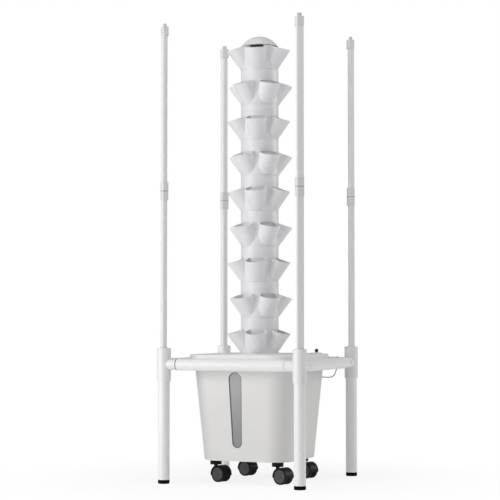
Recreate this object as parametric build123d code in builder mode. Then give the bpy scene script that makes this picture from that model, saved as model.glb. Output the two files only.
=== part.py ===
"""Hydroponic tower: nine planting layers on a wheeled water tank, inside a square stand with light masts.

Millimetres. The origin is on the floor under the tower's axis, +Z is up and -Y is the front,
the side with the level window.
"""
from build123d import *
import math
import os

os.makedirs("parts", exist_ok=True)

# Fits
push_fit = 0.1           # side clearance of pieces that are pushed together
seat_gap = 0.3           # gap between pieces that lift or turn apart
spin_fit = 0.05          # radial clearance of a turning pin

# Casters
wheel_radius = 29.0
wheel_width = 15.0
wheel_dish_radius = 25.5
wheel_dish_depth = 1.2
wheel_edge = 2.0
web_width = 14.0         # hood between the two wheels
wheel_side_gap = 0.5
fender_gap = 0.8
fender_wall = 1.8
fender_drop = 5.0        # fender ends below the axle
axle_radius = 3.0
caster_trail = 25.0      # swivel axis to wheel axle
caster_heading = -17.0   # degrees from +X, the way the wheels trail
stem_radius = 4.0
stem_length = 26.0
neck_radius = 7.0
neck_height = 2.0        # fender top to mounting disc
mount_radius = 21.0
mount_height = 17.4
caster_inset = 50.5      # tank's bottom edge to the swivel axis

# Tank
tank_height = 378.0
tank_bottom_side = 345.0
tank_top_side = 407.0
tank_bottom_radius = 78.0
tank_top_radius = 84.0
tank_wall = 3.5
tank_floor = 4.0
lip_width = 10.5
lip_height = 5.0
window_rise = 48.0       # tank's bottom to the window's lower end
window_height = 273.0
window_top_radius = 25.0
window_bottom_radius = 19.0
window_shift = -13.0     # window's centre line to the tank's centre line
window_recess = 3.0
window_flange = 6.0
window_flange_wall = 2.5
seal_height = 1.0

# Lid
lid_plate = 4.0
lid_wall = 3.0
lid_gap = 2.0            # tank lip to the lid's skirt
lid_skirt = 24.0
lid_edge = 3.0
pad_height = 1.7
pad_radius = 104.0
pad_slope_width = 4.0
drain_radius = 60.0
socket_boss_wall = 8.0
socket_boss_height = 10.0
fill_inset = 44.0        # lid's right edge to the fill port
fill_back = 130.0        # fill port behind the tower's axis
fill_radius = 16.0
fill_cap_radius = 21.0
fill_cap_height = 4.0
fill_spigot = 12.0
fill_spigot_wall = 2.0
knob_radius = 7.0
knob_stem_radius = 3.5
knob_stem = 1.5          # stem that shows under the ball

# Tower
layer_count = 9
cup_count = 5
tower_radius = 70.0
tower_wall = 3.0
collar_height = 86.0
spacer_height = 45.3
collar_spigot = 12.0
spacer_spigot = 18.0     # shows behind a cup's mouth
seam_height = 1.2        # groove under a collar's lower edge
seam_depth = 1.5
spigot_wall = 3.0
spigot_root = 6.0        # length of a spigot ring that is joined to its tube
base_ring_width = 5.0
base_ring_height = 3.0
cup_reach = 122.0        # tower's axis to a cup's tip
cup_tip_drop = 18.0      # collar's top to a cup's tip
cup_wall = 2.8
cup_tip_radius = 39.5    # a cup's level section at the height of its tip
cup_foot_radius = 31.0   # and at the collar's lower end
cup_heading = -76.5      # degrees from +X, first cup of the top layer
distributor_radius = 65.0
distributor_depth = 7.5
distributor_lug = 2.0
distributor_lug_width = 12.0
distributor_wall = 2.0
distributor_holes = 10
distributor_hole_radius = 2.0
distributor_hole_circle = 45.0
dome_radius = 68.5
dome_height = 39.0
dome_wall = 3.0
dome_spigot = 5.0

# Pump and riser
pump_length = 64.0
pump_width = 52.0
pump_height = 56.0
pump_edge = 5.0
barb_height = 25.0
riser_od = 16.0
riser_wall = 2.0
riser_lift = 2.0         # pump's top to the riser's lower end
hub_wall = 3.0
hub_height = 5.5
strainer_thickness = 10.0
strainer_slots = 6
strainer_slot_width = 3.0
strainer_margin = 7.0
pump_boss_radius = 5.0
pump_boss_length = 8.0
pump_boss_height = 20.0

# Light stand
pipe_od = 42.0
pipe_wall = 3.0
stand_gap = 24.0         # lid's edge to the inner side of a rail
rail_height = 428.0      # rail's centre line above the floor
fitting_od = 50.0
fitting_reach = 59.0     # fitting's centre to the end of an upright collar
fitting_edge = 1.2
leg_socket = 42.0        # leg inside the lower collar
light_seat = 31.0        # light bar inside the upper collar
stub_od = 39.0
stub_reach = 55.0        # fitting's centre to the end of a rail
stub_spigot = 30.0       # stub inside the rail
stub_wall = 3.0
wire_radius = 10.0
foot_height = 14.0
foot_plug = 22.0
foot_edge = 2.0

# Light masts
light_length = 600.0     # one bar with its two end caps
light_width = 26.0
housing_depth = 10.0
housing_edge = 2.0
channel_width = 20.0
channel_depth = 4.0
board_thickness = 1.6
diffuser_rise = 10.0
diffuser_wall = 1.6
cap_length = 33.0
cap_depth = 24.0
cap_width = 30.0
cap_radius = 6.0
connector_depth = 9.0
connector_width = 15.0
connector_height = 12.0
connector_radius = 1.5

# Pump lead
lead_radius = 2.0
gland_rise = 295.0       # tank's bottom to the gland
gland_radius = 4.5
gland_flange_radius = 7.5
gland_flange = 4.4
gland_nose = 3.0
gland_stand_off = 0.5
grommet_back = 166.0     # grommet behind the tower's axis
grommet_radius = 3.9
grommet_flange_radius = 6.0
grommet_flange = 2.5
grommet_plug = 4.0
lead_straight = 10.0     # lead square to its gland or grommet before it bends
lead_outside = [(206, 194, 372), (221, 187.5, 378), (231, 178, 389)]
lead_inside = [
    (212, 369), (206.5, 354), (203, 334), (200, 300), (196.5, 258), (194, 216), (189, 174),
    (180, 140), (161, 116), (134, 103), (102, 99), (74, 101), (55, 104),
]

# Heights and widths that follow
fender_inner = wheel_radius + fender_gap
fender_outer = fender_inner + fender_wall
mount_bottom = wheel_radius + fender_outer + neck_height
tank_bottom = mount_bottom + mount_height
tank_rim = tank_bottom + tank_height
lid_top = tank_rim + seat_gap + lid_plate
lid_bottom = lid_top - lid_skirt
pad_top = lid_top + pad_height
tower_foot = pad_top + base_ring_height
layer_pitch = collar_height + spacer_height
tower_top = tower_foot + layer_count * layer_pitch - spacer_height
lip_side = tank_top_side + 2 * lip_width
lip_radius = tank_top_radius + lip_width
lid_side = lip_side + 2 * (lid_gap + lid_wall)
lid_radius = lip_radius + lid_gap + lid_wall
half_stand = lid_side / 2 + stand_gap + pipe_od / 2
pipe_bore = pipe_od - 2 * pipe_wall
light_foot = rail_height + fitting_reach - light_seat
caster_place = tank_bottom_side / 2 - caster_inset
tower_bore = tower_radius - tower_wall
spigot_radius = tower_bore - push_fit * 2
pump_floor = tank_bottom + tank_floor
pump_top = pump_floor + pump_height

corners = {
    "front_left": (-1, -1, 45),
    "front_right": (1, -1, 135),
    "rear_right": (1, 1, 225),
    "rear_left": (-1, 1, 315),
}


def upright(x, y, z, angle):
    """A level plane whose own X axis points the given number of degrees from +X."""
    turn = math.radians(angle)
    return Plane(origin=(x, y, z), x_dir=(math.cos(turn), math.sin(turn), 0), z_dir=(0, 0, 1))


def tank_side(z):
    """Outer width of the tank at a height."""
    return tank_bottom_side + (tank_top_side - tank_bottom_side) * (z - tank_bottom) / tank_height


def tank_radius(z):
    """Outer corner radius of the tank at a height."""
    return tank_bottom_radius + (tank_top_radius - tank_bottom_radius) * (z - tank_bottom) / tank_height


def write(piece, name):
    """Label a finished piece, a builder or a group of touching solids, and write it to its own file."""
    shape = piece.part if isinstance(piece, BuildPart) else piece
    shape.label = name
    export_step(shape, f"parts/{name}.step")


# Legs, feet and rails of the stand
leg_top = rail_height - fitting_reach + leg_socket
for name, (side, depth, face) in corners.items():
    with BuildPart() as leg:
        with BuildSketch(upright(side * half_stand, depth * half_stand, foot_height, face)):
            Circle(pipe_od / 2)
            Circle(pipe_bore / 2, mode=Mode.SUBTRACT)
        extrude(amount=leg_top - foot_height)
    write(leg, f"leg_{name}")

with BuildPart() as feet:
    for side, depth, face in corners.values():
        with BuildSketch(upright(side * half_stand, depth * half_stand, 0, face)):
            Circle(pipe_od / 2)
        extrude(amount=foot_height)
    chamfer(feet.edges().group_by(Axis.Z)[0], foot_edge)
    for side, depth, face in corners.values():
        with BuildSketch(upright(side * half_stand, depth * half_stand, foot_height, face)):
            Circle(pipe_bore / 2 - push_fit)
        extrude(amount=foot_plug)
write(feet, "leg_feet")

rail_start = half_stand - stub_reach
rail_ends = {"front": (0, -1), "right": (1, 0), "rear": (0, 1), "left": (-1, 0)}
grommet_way = Vector(-1, 0, -1).normalized()
grommet_seat = Vector(half_stand, grommet_back, rail_height) + grommet_way * (pipe_od / 2)
for name, (side, depth) in rail_ends.items():
    along = Vector(abs(depth), abs(side), 0)
    start = Vector(side * half_stand, depth * half_stand, rail_height) - along * rail_start
    with BuildPart() as rail:
        with BuildSketch(Plane(origin=start, x_dir=(0, 0, 1), z_dir=along)):
            Circle(pipe_od / 2)
            Circle(pipe_bore / 2, mode=Mode.SUBTRACT)
        extrude(amount=2 * rail_start)
        if name == "right":
            with BuildSketch(Plane(origin=grommet_seat, x_dir=(0, 1, 0), z_dir=grommet_way)):
                Circle(grommet_radius + push_fit)
            extrude(amount=-2 * pipe_wall, mode=Mode.SUBTRACT)
    write(rail, f"rail_{name}")

# Corner fittings: two upright sockets and two level stubs that carry the rails
stub_bore = pipe_bore - 2 * push_fit - 2 * stub_wall
for name, (side, depth, face) in corners.items():
    hub = upright(side * half_stand, depth * half_stand, rail_height, face - 45)
    arms = [Plane(hub.origin, x_dir=hub.z_dir, z_dir=way) for way in (hub.x_dir, hub.y_dir)]
    with BuildPart() as fitting:
        with BuildSketch(hub.offset(-fitting_reach)):
            Circle(fitting_od / 2)
        extrude(amount=2 * fitting_reach)
        collar_rims = fitting.edges().filter_by(GeomType.CIRCLE)
        fillet(collar_rims, fitting_edge)
        for arm in arms:
            with BuildSketch(arm):
                Circle(stub_od / 2)
            extrude(amount=stub_reach)
            with BuildSketch(arm.offset(stub_reach)):
                Circle(pipe_bore / 2 - push_fit)
            extrude(amount=stub_spigot)
        for arm in arms:
            with BuildSketch(arm):
                Circle(stub_bore / 2)
            extrude(amount=stub_reach + stub_spigot, mode=Mode.SUBTRACT)
        with BuildSketch(hub.offset(-fitting_reach)):
            Circle(pipe_od / 2 + push_fit)
        extrude(amount=leg_socket, mode=Mode.SUBTRACT)
        with BuildSketch(hub.offset(fitting_reach - light_seat)):
            Circle(pipe_od / 2 + push_fit)
        extrude(amount=light_seat, mode=Mode.SUBTRACT)
        with BuildSketch(hub.offset(-fitting_reach)):
            Circle(wire_radius)
        extrude(amount=2 * fitting_reach, mode=Mode.SUBTRACT)
    write(fitting, f"corner_fitting_{name}")

with BuildPart() as bushes:
    for side, depth, face in corners.values():
        with BuildSketch(upright(side * half_stand, depth * half_stand, light_foot, face)):
            Circle(pipe_od / 2)
            RectangleRounded(
                cap_depth + 2 * push_fit,
                cap_width + 2 * push_fit,
                cap_radius + push_fit,
                mode=Mode.SUBTRACT,
            )
        extrude(amount=light_seat)
write(bushes, "mast_bushes")

# Light masts: two bars above each corner, flat back outside and rounded diffuser facing the tower
bar_feet = {"lower": light_foot, "upper": light_foot + light_length}
housing_length = light_length - 2 * cap_length
with BuildPart() as housings:
    for bar_foot in bar_feet.values():
        for side, depth, face in corners.values():
            with BuildSketch(upright(side * half_stand, depth * half_stand, bar_foot + cap_length, face)) as section:
                with Locations((-housing_depth / 2, 0)):
                    Rectangle(housing_depth, light_width)
                fillet(section.vertices().group_by(Axis.X)[0], housing_edge)
                with Locations((-channel_depth / 2, 0)):
                    Rectangle(channel_depth, channel_width, mode=Mode.SUBTRACT)
            extrude(amount=housing_length)
write(housings, "light_housings")

for level, bar_foot in bar_feet.items():
    with BuildPart() as end_caps:
        for side, depth, face in corners.values():
            foot = upright(side * half_stand, depth * half_stand, bar_foot, face)
            for rise in (0, light_length - cap_length):
                with BuildSketch(foot.offset(rise)):
                    RectangleRounded(cap_depth, cap_width, cap_radius)
                extrude(amount=cap_length)
            with BuildSketch(foot):
                RectangleRounded(
                    connector_depth + 2 * push_fit,
                    connector_width + 2 * push_fit,
                    connector_radius + push_fit,
                )
            extrude(amount=connector_height + push_fit, mode=Mode.SUBTRACT)
    write(end_caps, f"light_end_caps_{level}")

with BuildPart() as diffusers:
    for bar_foot in bar_feet.values():
        for side, depth, face in corners.values():
            with BuildSketch(upright(side * half_stand, depth * half_stand, bar_foot + cap_length, face)):
                with BuildLine():
                    outer = ThreePointArc((0, -light_width / 2), (diffuser_rise, 0), (0, light_width / 2))
                    inner_half = light_width / 2 - diffuser_wall
                    inner = ThreePointArc((0, inner_half), (diffuser_rise - diffuser_wall, 0), (0, -inner_half))
                    Line(outer @ 1, inner @ 0)
                    Line(inner @ 1, outer @ 0)
                make_face()
            extrude(amount=housing_length)
write(diffusers, "light_diffusers")

with BuildPart() as boards:
    for bar_foot in bar_feet.values():
        for side, depth, face in corners.values():
            with BuildSketch(upright(side * half_stand, depth * half_stand, bar_foot + cap_length, face)):
                with Locations((board_thickness / 2 - channel_depth, 0)):
                    Rectangle(board_thickness, channel_width - 2 * push_fit)
            extrude(amount=housing_length)
write(boards, "led_boards")

with BuildPart() as connectors:
    for bar_foot in bar_feet.values():
        for side, depth, face in corners.values():
            with BuildSketch(upright(side * half_stand, depth * half_stand, bar_foot + light_length, face)):
                RectangleRounded(connector_depth, connector_width, connector_radius)
            extrude(amount=connector_height)
write(connectors, "light_connectors")

# Level window: a long opening in the front wall that narrows downwards
tank_lean = math.atan((tank_top_side - tank_bottom_side) / 2 / tank_height)
wall_across = tank_wall * math.cos(tank_lean)
window_middle = tank_bottom + window_rise + window_height / 2
front_wall = Plane(
    origin=(window_shift, -tank_side(window_middle) / 2, window_middle),
    x_dir=(1, 0, 0),
    z_dir=(0, -math.cos(tank_lean), -math.sin(tank_lean)),
)


def window_outline(growth):
    """The window's outline, grown by a margin: two half-round ends and the lines that touch both."""
    top = window_top_radius + growth
    bottom = window_bottom_radius + growth
    high = window_height / 2 - window_top_radius
    low = window_bottom_radius - window_height / 2
    lean = math.asin((top - bottom) / (high - low))
    right = math.cos(lean)
    drop = math.sin(lean)
    with BuildSketch() as outline:
        with BuildLine():
            crown = ThreePointArc(
                (right * top, high - drop * top),
                (0, high + top),
                (-right * top, high - drop * top),
            )
            base = ThreePointArc(
                (-right * bottom, low - drop * bottom),
                (0, low - bottom),
                (right * bottom, low - drop * bottom),
            )
            Line(crown @ 1, base @ 0)
            Line(base @ 1, crown @ 0)
        make_face()
    return outline.sketch


window_hole = window_outline(0)
window_plug = window_outline(-push_fit)
window_rim = window_outline(window_flange)

# Tank shell
gland_height = tank_bottom + gland_rise
corner_centre = (tank_side(gland_height) / 2 - tank_radius(gland_height)) * math.sqrt(2)
corner_reach = corner_centre + tank_radius(gland_height)
side_rate = (tank_top_side - tank_bottom_side) / 2 / tank_height
radius_rate = (tank_top_radius - tank_bottom_radius) / tank_height
corner_lean = math.atan((side_rate - radius_rate) * math.sqrt(2) + radius_rate)


def diagonal(reach, height):
    """A point in the upright plane from the tower's axis through the rear right corner."""
    return Vector(reach / math.sqrt(2), reach / math.sqrt(2), height)


def diagonal_plane(reach, height):
    """A plane square to that diagonal, facing away from the axis."""
    return Plane(origin=diagonal(reach, height), x_dir=(0, 0, 1), z_dir=(1, 1, 0))


gland_way = diagonal(math.cos(corner_lean), -math.sin(corner_lean))
gland_wall = Plane(origin=diagonal(corner_reach, gland_height), x_dir=(-1, 1, 0), z_dir=gland_way)


with BuildPart() as tank:
    with BuildSketch(Plane.XY.offset(tank_bottom)):
        RectangleRounded(tank_bottom_side, tank_bottom_side, tank_bottom_radius)
    with BuildSketch(Plane.XY.offset(tank_rim)):
        RectangleRounded(tank_top_side, tank_top_side, tank_top_radius)
    loft(ruled=True)
    with BuildSketch(Plane.XY.offset(tank_rim - lip_height)):
        RectangleRounded(lip_side, lip_side, lip_radius)
    extrude(amount=lip_height)
    inner_bottom = tank_side(pump_floor) - 2 * tank_wall
    inner_top = tank_top_side - 2 * tank_wall
    with BuildSketch(Plane.XY.offset(pump_floor)):
        RectangleRounded(inner_bottom, inner_bottom, tank_radius(pump_floor) - tank_wall)
    with BuildSketch(Plane.XY.offset(tank_rim)):
        RectangleRounded(inner_top, inner_top, tank_top_radius - tank_wall)
    loft(ruled=True, mode=Mode.SUBTRACT)
    with BuildSketch(front_wall.offset(tank_wall)):
        add(window_hole)
    extrude(amount=-3 * tank_wall, mode=Mode.SUBTRACT)
    with BuildSketch(gland_wall.offset(tank_wall)):
        Circle(gland_radius + push_fit)
    extrude(amount=-3 * tank_wall, mode=Mode.SUBTRACT)
write(tank, "tank_shell")

with BuildPart() as pane:
    with BuildSketch(front_wall.offset(-window_recess)):
        add(window_plug)
    extrude(amount=-(wall_across + seal_height + window_flange_wall - window_recess))
    with BuildSketch(front_wall.offset(-wall_across - seal_height)):
        add(window_rim)
    extrude(amount=-window_flange_wall)
write(pane, "level_window")

with BuildPart() as seal:
    with BuildSketch(front_wall.offset(-wall_across)):
        add(window_rim)
        add(window_hole, mode=Mode.SUBTRACT)
    extrude(amount=-seal_height)
write(seal, "window_seal")

# Lid with the tower's socket, drain and fill port
fill_x = lid_side / 2 - fill_inset
socket_radius = spigot_radius + 2 * push_fit
socket_floor = tower_foot - collar_spigot - seat_gap
with BuildPart() as lid:
    with BuildSketch(Plane.XY.offset(lid_bottom)):
        RectangleRounded(lid_side, lid_side, lid_radius)
    extrude(amount=lid_skirt)
    fillet(lid.faces().sort_by(Axis.Z)[-1].edges(), lid_edge)
    with BuildSketch(Plane.XY.offset(lid_bottom)):
        skirt_side = lid_side - 2 * lid_wall
        RectangleRounded(skirt_side, skirt_side, lid_radius - lid_wall)
    extrude(amount=lid_skirt - lid_plate, mode=Mode.SUBTRACT)
    with BuildSketch(Plane.XZ):
        with BuildLine():
            boss_radius = socket_radius + socket_boss_wall
            boss_bottom = lid_top - lid_plate - socket_boss_height
            Polyline(
                (0, boss_bottom),
                (boss_radius, boss_bottom),
                (boss_radius, lid_top - lid_plate / 2),
                (pad_radius, lid_top - lid_plate / 2),
                (pad_radius, lid_top),
                (pad_radius - pad_slope_width, pad_top),
                (0, pad_top),
                close=True,
            )
        make_face()
    revolve(axis=Axis.Z)
    with BuildSketch(Plane.XY.offset(boss_bottom)):
        Circle(drain_radius)
    extrude(amount=pad_top - boss_bottom, mode=Mode.SUBTRACT)
    with BuildSketch(Plane.XY.offset(socket_floor)):
        Circle(socket_radius)
    extrude(amount=pad_top - socket_floor, mode=Mode.SUBTRACT)
    with BuildSketch(Plane.XY.offset(lid_top - lid_plate)):
        with Locations((fill_x, fill_back)):
            Circle(fill_radius)
    extrude(amount=lid_plate, mode=Mode.SUBTRACT)
write(lid, "tank_lid")

cap_seat = lid_top + seat_gap
with BuildPart() as fill_cap:
    port = Plane.XY.offset(cap_seat).move(Location((fill_x, fill_back, 0)))
    with BuildSketch(port):
        Circle(fill_cap_radius)
    extrude(amount=fill_cap_height)
    with BuildSketch(port):
        Circle(fill_radius - seat_gap)
        Circle(fill_radius - seat_gap - fill_spigot_wall, mode=Mode.SUBTRACT)
    extrude(amount=-fill_spigot)
write(fill_cap, "fill_cap")

with BuildPart() as knob:
    stand = cap_seat + fill_cap_height
    with BuildSketch(Plane.XY.offset(stand).move(Location((fill_x, fill_back, 0)))):
        Circle(knob_stem_radius)
    ball_height = knob_stem + math.sqrt(knob_radius ** 2 - knob_stem_radius ** 2)
    extrude(amount=ball_height)
    with Locations((fill_x, fill_back, stand + ball_height)):
        Sphere(knob_radius)
write(knob, "fill_knob")

# Planting collar: a short tube with five slanting cups, round in level section, whose keels end at the seam.
# It is made of five equal segments, one to each cup, that meet on the tube between the cups.
tip_height = collar_height - cup_tip_drop
keel_slope = (cup_reach - tower_radius) / tip_height
brow_reach = tower_radius + keel_slope * collar_height
brow_radius = cup_foot_radius + (cup_tip_radius - cup_foot_radius) / tip_height * collar_height
rim_slope = cup_tip_drop / (cup_reach - tower_radius)
half_step = 180 / cup_count
cup_turns = [2 * half_step * step for step in range(cup_count)]

with BuildPart() as collar_segment:
    with BuildSketch():
        Circle(tower_radius)
    extrude(amount=collar_height)
    with BuildSketch():
        with Locations((tower_radius - cup_foot_radius, 0)):
            Circle(cup_foot_radius)
    with BuildSketch(Plane.XY.offset(collar_height)):
        with Locations((brow_reach - brow_radius, 0)):
            Circle(brow_radius)
    loft(ruled=True)
    with BuildSketch():
        Circle(tower_bore)
    extrude(amount=collar_height, mode=Mode.SUBTRACT)
    with BuildSketch():
        with Locations((tower_radius - cup_foot_radius, 0)):
            Circle(cup_foot_radius - cup_wall)
    with BuildSketch(Plane.XY.offset(collar_height)):
        with Locations((brow_reach - brow_radius, 0)):
            Circle(brow_radius - cup_wall)
    loft(ruled=True, mode=Mode.SUBTRACT)
    with BuildSketch(Plane.XZ):
        with BuildLine():
            brow_drop = (brow_reach - tower_radius + cup_wall) * rim_slope
            Polyline(
                (tower_radius, collar_height),
                (brow_reach + cup_wall, collar_height - brow_drop),
                (brow_reach + cup_wall, collar_height + cup_wall),
                (tower_radius, collar_height + cup_wall),
                close=True,
            )
        make_face()
    revolve(axis=Axis.Z, mode=Mode.SUBTRACT)
    with BuildSketch(Plane.XZ):
        with BuildLine():
            Polyline(
                (spigot_radius - spigot_wall, -collar_spigot),
                (spigot_radius, -collar_spigot),
                (spigot_radius, 0),
                (tower_bore + tower_wall / 3, 0),
                (tower_bore + tower_wall / 3, spigot_root / 4),
                (tower_bore, spigot_root),
                (spigot_radius - spigot_wall, spigot_root),
                close=True,
            )
        make_face()
    revolve(axis=Axis.Z)
    segment_reach = brow_reach + cup_wall
    segment_half = segment_reach * math.tan(math.radians(half_step))
    with BuildSketch(Plane.XY.offset(-collar_spigot)):
        with BuildLine():
            Polyline(
                (0, 0),
                (segment_reach, -segment_half),
                (segment_reach, segment_half),
                close=True,
            )
        make_face()
    extrude(amount=collar_spigot + collar_height, mode=Mode.INTERSECT)

for layer in range(1, layer_count + 1):
    seam = tower_foot + (layer_count - layer) * layer_pitch
    layer_turn = cup_heading + half_step * ((layer - 1) % 2)
    segments = []
    for turn in cup_turns:
        place = Location((0, 0, seam), (0, 0, layer_turn + turn))
        segments.append(collar_segment.part.moved(place))
    write(Compound(segments), f"planting_collar_{layer}")

with BuildPart() as spacers:
    for gap in range(1, layer_count):
        seat = tower_foot + gap * layer_pitch - spacer_height
        with BuildSketch(Plane.XZ):
            with BuildLine():
                Polyline(
                    (spigot_radius - spigot_wall, seat - spacer_spigot),
                    (spigot_radius, seat - spacer_spigot),
                    (spigot_radius, seat),
                    (tower_radius, seat),
                    (tower_radius, seat + spacer_height - seam_height),
                    (tower_radius - seam_depth, seat + spacer_height - seam_height),
                    (tower_radius - seam_depth, seat + spacer_height),
                    (tower_bore, seat + spacer_height),
                    (tower_bore, seat + spigot_root),
                    (spigot_radius - spigot_wall, seat + spigot_root),
                    close=True,
                )
            make_face()
        revolve(axis=Axis.Z)
write(spacers, "spacer_rings")

with BuildPart() as base_ring:
    with BuildSketch(Plane.XY.offset(pad_top)):
        Circle(tower_radius + base_ring_width)
        Circle(socket_radius, mode=Mode.SUBTRACT)
    extrude(amount=base_ring_height)
write(base_ring, "base_ring")

# Water distributor, dome cap and riser
lug_top = tower_top + distributor_lug
dish_bottom = lug_top - distributor_depth
dish_bore = distributor_radius - distributor_wall
hub_bore = riser_od / 2 + push_fit
with BuildPart() as distributor:
    with BuildSketch(Plane.XZ):
        with BuildLine():
            Polyline(
                (hub_bore, dish_bottom),
                (distributor_radius, dish_bottom),
                (distributor_radius, lug_top),
                (dish_bore, lug_top),
                (dish_bore, dish_bottom + distributor_wall),
                (hub_bore + hub_wall, dish_bottom + distributor_wall),
                (hub_bore + hub_wall, dish_bottom + hub_height),
                (hub_bore, dish_bottom + hub_height),
                close=True,
            )
        make_face()
    revolve(axis=Axis.Z)
    for turn in cup_turns:
        with BuildSketch(upright(0, 0, tower_top, cup_heading + half_step + turn)):
            with Locations(((dish_bore + tower_radius) / 2, 0)):
                Rectangle(tower_radius - dish_bore, distributor_lug_width)
        extrude(amount=distributor_lug)
    with BuildSketch(Plane.XY.offset(dish_bottom)):
        with PolarLocations(distributor_hole_circle, distributor_holes):
            Circle(distributor_hole_radius)
    extrude(amount=distributor_wall, mode=Mode.SUBTRACT)
write(distributor, "water_distributor")

dome_foot = lug_top + seat_gap
dome_ring = dish_bore - seat_gap
with BuildPart() as dome:
    with BuildSketch(Plane.XZ):
        with BuildLine():
            outside = RadiusArc(
                (0, dome_foot + dome_height),
                (dome_radius, dome_foot),
                (dome_radius ** 2 + dome_height ** 2) / (2 * dome_height),
            )
            inner_rise = dome_height - dome_wall
            inside = RadiusArc(
                (0, dome_foot + inner_rise),
                (dome_ring - dome_wall, dome_foot),
                ((dome_ring - dome_wall) ** 2 + inner_rise ** 2) / (2 * inner_rise),
            )
            Polyline(
                outside @ 1,
                (dome_ring, dome_foot),
                (dome_ring, dome_foot - dome_spigot),
                (dome_ring - dome_wall, dome_foot - dome_spigot),
                inside @ 1,
            )
            Line(outside @ 0, inside @ 0)
        make_face()
    revolve(axis=Axis.Z)
write(dome, "dome_cap")

riser_foot = pump_top + riser_lift
with BuildPart() as riser:
    with BuildSketch(Plane.XY.offset(riser_foot)):
        Circle(riser_od / 2)
        Circle(riser_od / 2 - riser_wall, mode=Mode.SUBTRACT)
    extrude(amount=dish_bottom + hub_height - riser_foot)
write(riser, "riser_pipe")

# Pump on the tank's floor, turned to face the corner with the cable gland
pump_base = upright(0, 0, pump_floor, 45)
with BuildPart() as pump:
    with BuildSketch(pump_base):
        RectangleRounded(pump_length, pump_width, pump_edge)
    extrude(amount=pump_height)
    with BuildSketch(pump_base.offset(pump_height)):
        Circle(riser_od / 2 - riser_wall - seat_gap)
    extrude(amount=barb_height)
    with BuildSketch(diagonal_plane(pump_length / 2, pump_floor + pump_boss_height)):
        Circle(pump_boss_radius)
    extrude(amount=pump_boss_length)
write(pump, "pump_body")

with BuildPart() as strainer:
    slot_span = pump_width - 2 * strainer_margin
    slot_step = slot_span / (strainer_slots - 1)
    with BuildSketch(diagonal_plane(-pump_length / 2, pump_floor)):
        with Locations((pump_height / 2, 0)):
            RectangleRounded(pump_height, pump_width, pump_edge)
            with GridLocations(0, slot_step, 1, strainer_slots):
                Rectangle(pump_height - 2 * strainer_margin, strainer_slot_width, mode=Mode.SUBTRACT)
    extrude(amount=-strainer_thickness)
write(strainer, "pump_strainer")

# Cable gland in the tank's corner and grommet in the right rail
gland_out = gland_stand_off + gland_flange + gland_nose
gland_in = -tank_wall - gland_out
with BuildPart() as gland:
    with BuildSketch(gland_wall.offset(gland_in)):
        Circle(gland_radius)
    extrude(amount=gland_out - gland_in)
    for flange_start in (gland_in + gland_nose, gland_stand_off):
        with BuildSketch(gland_wall.offset(flange_start)):
            Circle(gland_flange_radius)
        extrude(amount=gland_flange)
write(gland, "cable_gland")

with BuildPart() as grommet:
    with BuildSketch(Plane(origin=grommet_seat, x_dir=(0, 1, 0), z_dir=grommet_way)):
        Circle(grommet_flange_radius)
    extrude(amount=grommet_flange)
    with BuildSketch(Plane(origin=grommet_seat, x_dir=(0, 1, 0), z_dir=grommet_way)):
        Circle(grommet_radius)
    extrude(amount=-grommet_plug)
write(grommet, "rail_grommet")


# Pump lead: a limp cable from the rail to the tank's corner, and on inside the tank to the pump
def bend_radii(points):
    """The largest arc that each corner's two runs allow."""
    radii = []
    for before, at, after in zip(points, points[1:], points[2:]):
        shorter = min((at - before).length, (after - at).length)
        turn = (at - before).get_angle(after - at)
        radii.append(0.45 * shorter / math.tan(math.radians(turn / 2)))
    return radii


lead_start = gland_wall.origin + gland_way * gland_out
lead_leave = lead_start + gland_way * lead_straight
lead_end = grommet_seat + grommet_way * grommet_flange
lead_enter = lead_end + grommet_way * lead_straight
inside_start = gland_wall.origin + gland_way * gland_in
inside_leave = inside_start - gland_way * lead_straight
inside_end = diagonal(pump_length / 2 + pump_boss_length, pump_floor + pump_boss_height)
routes = {
    "pump_lead": [lead_start, lead_leave, *[Vector(*point) for point in lead_outside], lead_enter, lead_end],
    "pump_lead_inside": [inside_start, inside_leave, *[diagonal(*point) for point in lead_inside], inside_end],
}
for name, points in routes.items():
    print(name, [tuple(round(value, 1) for value in point) for point in points])
    radii = bend_radii(points)
    with BuildPart() as lead:
        with BuildLine() as route:
            FilletPolyline(*points, radius=radii)
        with BuildSketch(Plane(origin=route.line @ 0, z_dir=route.line % 0)):
            Circle(lead_radius)
        sweep()
    length = route.wire().length
    section = math.pi * lead_radius ** 2
    print(name, "length", round(length, 1), "radii", [round(radius, 1) for radius in radii])
    print(name, "volume", round(lead.part.volume, 1), "section times length", round(section * length, 1))
    write(lead, name)

# Casters: mounting discs with their stems, then hood, axle and wheel pair at each corner
with BuildPart() as mounts:
    for side, depth, face in corners.values():
        swivel = upright(side * caster_place, depth * caster_place, mount_bottom, caster_heading)
        with BuildSketch(swivel):
            Circle(mount_radius)
        extrude(amount=mount_height)
        with BuildSketch(swivel):
            Circle(stem_radius)
        extrude(amount=-stem_length)
write(mounts, "caster_mounts")

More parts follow.
